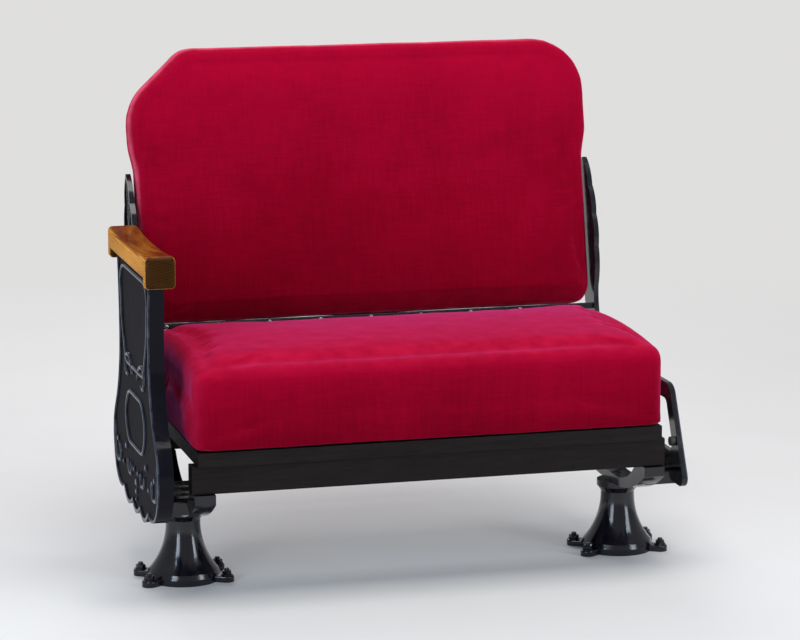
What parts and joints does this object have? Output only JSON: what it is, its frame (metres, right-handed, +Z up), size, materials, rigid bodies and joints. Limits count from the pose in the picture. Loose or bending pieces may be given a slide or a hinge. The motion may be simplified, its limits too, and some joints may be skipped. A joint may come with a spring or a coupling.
{
  "type": "railway coach walkover double seat",
  "caption": "Double seat of a railway coach: plush cushion, back that walks over to face either way, ornate iron aisle end with oak armrest, pedestals.",
  "frame": {"origin": "middle of the aisle pedestal's foot, at floor level", "axes": "+X across the coach from the aisle to the window, +Y away from the sitter towards the back at rest, +Z up"},
  "size_m": [1.0655, 0.6518, 0.981],
  "materials": {
    "enamelled_iron": "gloss",
    "bare_steel": "satin",
    "black_rubber": "matte",
    "painted_ash": "satin",
    "crimson_plush": "matte",
    "varnished_oak": "gloss"
  },
  "bodies": {
    "frame": {"aisle_pedestal": "enamelled_iron", "window_pedestal": "enamelled_iron", "aisle_yoke": "enamelled_iron", "window_yoke": "enamelled_iron", "aisle_stops": "black_rubber", "window_stops": "black_rubber", "front_rail": "painted_ash", "rear_rail": "painted_ash", "cushion_base": "painted_ash", "cushion": "crimson_plush", "aisle_panel": "enamelled_iron", "window_end": "enamelled_iron", "armrest": "varnished_oak"},
    "front_arms": {"front_shaft": "bare_steel", "aisle_front_arm": "enamelled_iron", "window_front_arm": "enamelled_iron"},
    "rear_arms": {"rear_shaft": "bare_steel", "aisle_rear_arm": "enamelled_iron", "window_rear_arm": "enamelled_iron"},
    "back": {"back_pad": "crimson_plush", "back_rail": "enamelled_iron", "aisle_back_casting": "enamelled_iron", "window_back_casting": "enamelled_iron", "aisle_pivot_pins": "bare_steel", "window_pivot_pins": "bare_steel"}
  },
  "joints": [
    {"name": "front_arm_swing", "type": "hinge", "parent": "frame", "child": "front_arms", "pos_m": [0.437, -0.02632, 0.176], "axis": [1, 0, 0], "range_deg": [0, 106.31]},
    {"name": "back_tilt", "type": "hinge", "parent": "front_arms", "child": "back", "pos_m": [0.437, 0.22711, 0.37629], "axis": [1, 0, 0], "range_deg": [-82.32, 0]},
    {"name": "rear_arm_swing", "type": "hinge", "parent": "frame", "child": "rear_arms", "pos_m": [0.437, 0.02632, 0.176], "axis": [1, 0, 0], "range_deg": [0, 106.31]}
  ],
  "couplings": [
    {"joint": "back_tilt", "follows": "front_arm_swing", "ratio": -0.77424},
    {"joint": "rear_arm_swing", "follows": "front_arm_swing", "ratio": 1}
  ]
}
